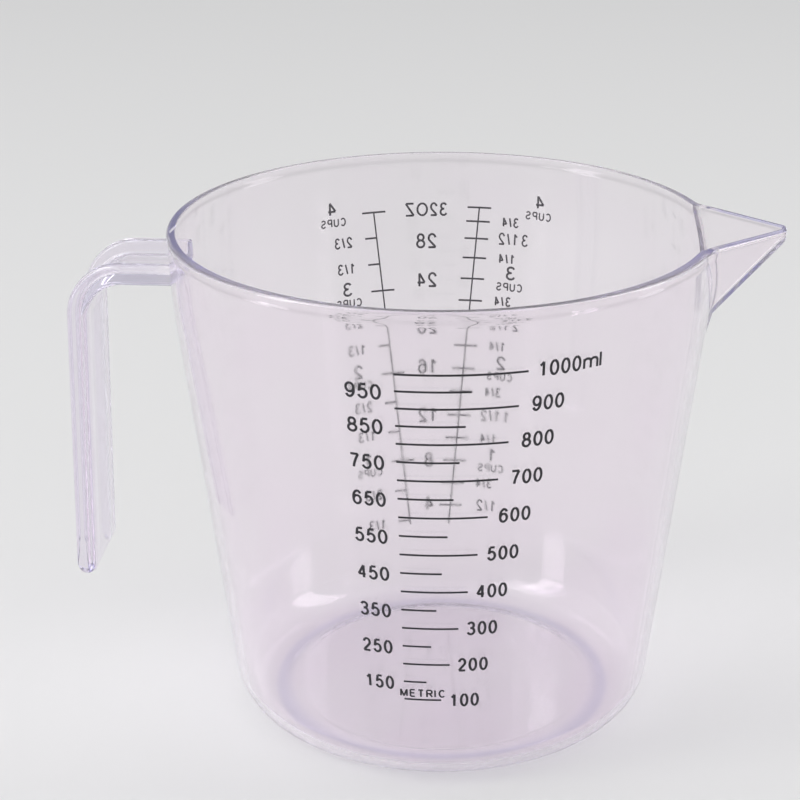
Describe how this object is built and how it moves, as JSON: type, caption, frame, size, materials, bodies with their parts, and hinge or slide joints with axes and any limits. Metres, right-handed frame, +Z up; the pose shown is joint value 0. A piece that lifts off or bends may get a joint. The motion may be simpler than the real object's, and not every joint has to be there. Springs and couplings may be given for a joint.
{
  "type": "measuring cup",
  "caption": "Clear plastic measuring jug with an open hook handle, a V-shaped pouring spout, a recessed base and printed metric and cup scales.",
  "frame": {"origin": "middle of the whole part's footprint, on the table; the cup's axis stands 4.9 mm towards +X of it", "axes": "+Z up along the cup's axis, +X towards the pouring spout, -X towards the handle, the metric scale on the -Y side"},
  "size_m": [0.1694, 0.128, 0.1216],
  "materials": {
    "clear_plastic": "polished, clear",
    "print_ink": "satin printed ink"
  },
  "bodies": {
    "root": {"cup_wall": "clear_plastic", "rim_band": "clear_plastic", "base_pan": "clear_plastic", "foot_ring": "clear_plastic", "pour_spout": "clear_plastic", "handle_rail_front": "clear_plastic", "handle_rail_back": "clear_plastic", "handle_web": "clear_plastic", "metric_line_1000": "print_ink", "metric_line_950": "print_ink", "metric_line_900": "print_ink", "metric_line_850": "print_ink", "metric_line_800": "print_ink", "metric_line_750": "print_ink", "metric_line_700": "print_ink", "metric_line_650": "print_ink", "metric_line_600": "print_ink", "metric_line_550": "print_ink", "metric_line_500": "print_ink", "metric_line_450": "print_ink", "metric_line_400": "print_ink", "metric_line_350": "print_ink", "metric_line_300": "print_ink", "metric_line_250": "print_ink", "metric_line_200": "print_ink", "metric_line_150": "print_ink", "metric_line_100": "print_ink", "cups_scale_thirds": "print_ink", "cups_scale_quarters": "print_ink"}
  },
  "joints": []
}
